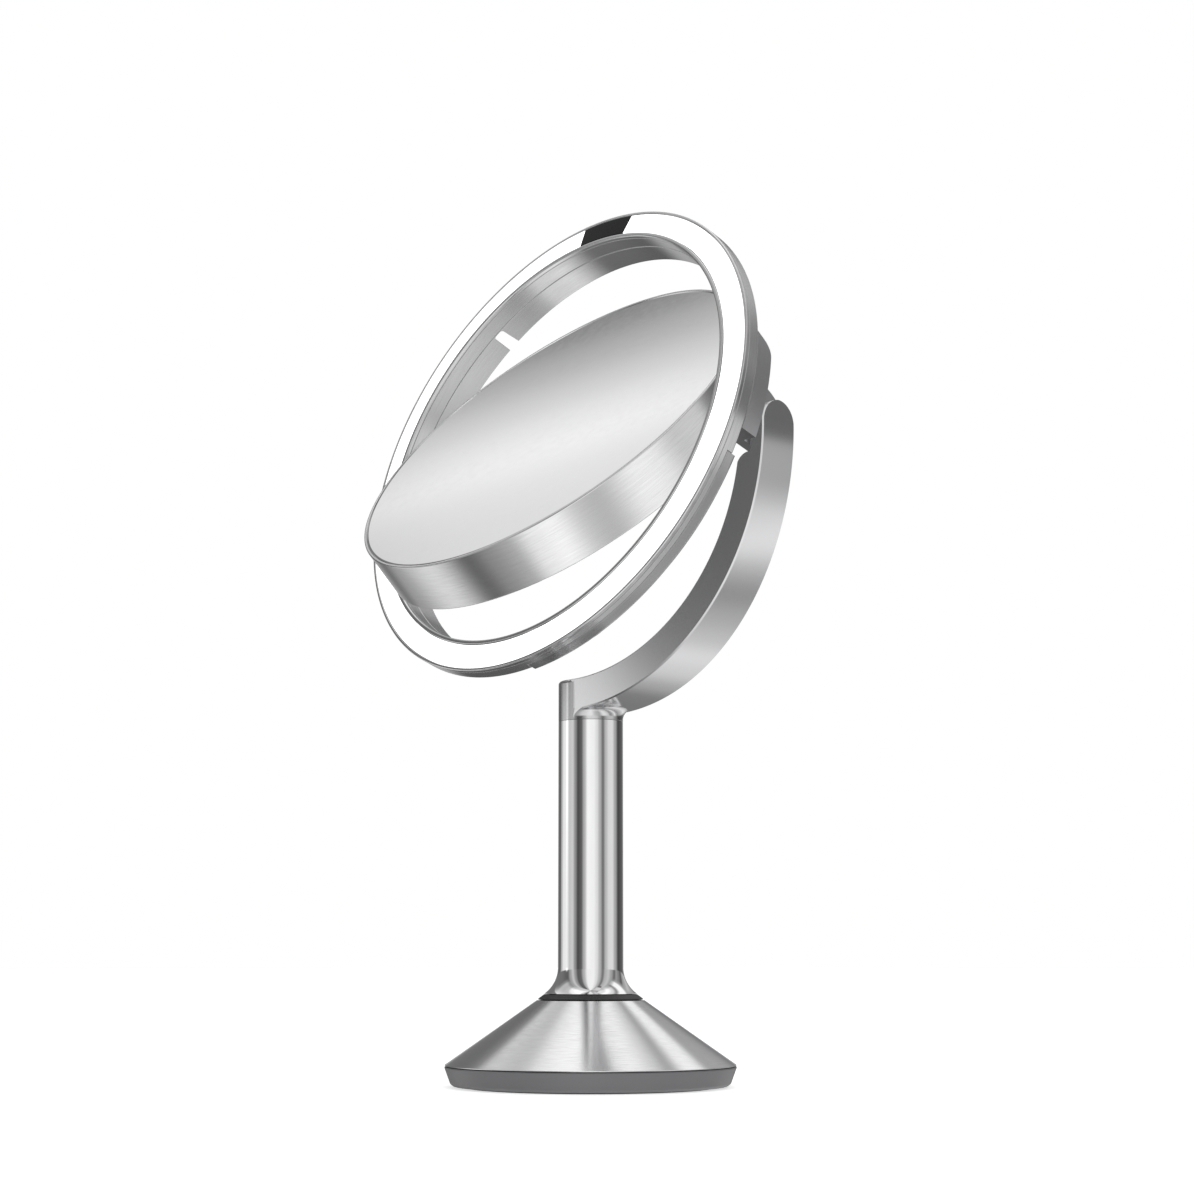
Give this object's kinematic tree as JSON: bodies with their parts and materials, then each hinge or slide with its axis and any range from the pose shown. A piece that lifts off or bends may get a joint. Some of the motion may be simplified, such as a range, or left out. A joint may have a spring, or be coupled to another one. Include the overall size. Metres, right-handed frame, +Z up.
{
  "type": "lighted vanity mirror",
  "caption": "Table-top make-up mirror: weighted conical base, polished stem and quarter-round arm carry a tilting ring light with a two-sided mirror that flips inside it.",
  "frame": {"origin": "centre of the foot, on the table", "axes": "+Z up along the stem, -Y towards the user, +X towards the arm and its tilt hinge (the user's right)"},
  "size_m": [0.236, 0.1623, 0.4051],
  "materials": {
    "brushed": "circumferentially brushed stainless steel",
    "polished": "mirror-polished stainless steel",
    "satin": "satin die-cast metal",
    "screw_steel": "zinc plate",
    "ballast": "as cast",
    "grey_plastic": "fine texture",
    "black_plastic": "fine texture",
    "black_rubber": "matt",
    "gloss_black": "gloss",
    "opal": "opal, lit from behind",
    "mirror_glass": "silvered glass",
    "circuit_board": "solder mask",
    "cell_sleeve": "shrink sleeve",
    "foam": "double-sided foam tape",
    "nylon": "natural"
  },
  "bodies": {
    "stand": {"base_cone": "brushed", "base_plinth": "grey_plastic", "base_hub": "black_plastic", "base_weight": "ballast", "foot_pad": "black_rubber", "base_screw_1": "screw_steel", "base_screw_2": "screw_steel", "base_screw_3": "screw_steel", "base_screw_4": "screw_steel", "stem_gasket": "black_rubber", "stem_tube": "polished", "tie_rod": "screw_steel", "tie_washer": "screw_steel", "tie_nut": "screw_steel", "arm": "satin", "tilt_axle": "screw_steel", "spring_washer": "screw_steel", "friction_washer": "black_plastic"},
    "light_head": {"ring_housing": "brushed", "outer_bezel": "polished", "inner_bezel": "polished", "light_diffuser": "opal", "sensor_window": "gloss_black", "led_board": "circuit_board", "sensor_board": "circuit_board", "rear_sleeve": "brushed", "battery_cover": "brushed", "battery_pack": "cell_sleeve", "control_board": "circuit_board", "usb_port": "screw_steel", "cover_screw_1": "screw_steel", "cover_screw_2": "screw_steel", "hinge_bracket": "satin", "bracket_screw_1": "screw_steel", "bracket_screw_2": "screw_steel", "pivot_block": "black_plastic"},
    "mirror": {"mirror_frame": "brushed", "front_mirror_glass": "mirror_glass", "magnifying_mirror_glass": "mirror_glass", "mirror_carrier": "black_plastic", "front_glass_tape": "foam", "rear_glass_tape": "foam", "pivot_pin_left": "screw_steel", "pivot_pin_right": "screw_steel", "pivot_washer_left": "nylon", "pivot_washer_right": "nylon"},
    "power_button": {"power_button": "black_plastic"}
  },
  "joints": [
    {"name": "head_tilt", "type": "hinge", "parent": "stand", "child": "light_head", "pos_m": [0.109, 0, 0.2847], "axis": [-1, 0, 0], "range_deg": [-11, 26]},
    {"name": "mirror_flip", "type": "hinge", "parent": "light_head", "child": "mirror", "pos_m": [0, -0.01794, 0.29095], "axis": [1, 0, 0], "continuous": true},
    {"name": "power_button_press", "type": "slide", "parent": "light_head", "child": "power_button", "axis": [-0.2743, -0.5967, 0.7541], "range_m": [0, 0.0005], "stiffness_N_per_m": 400, "springref_m": -0.002}
  ]
}
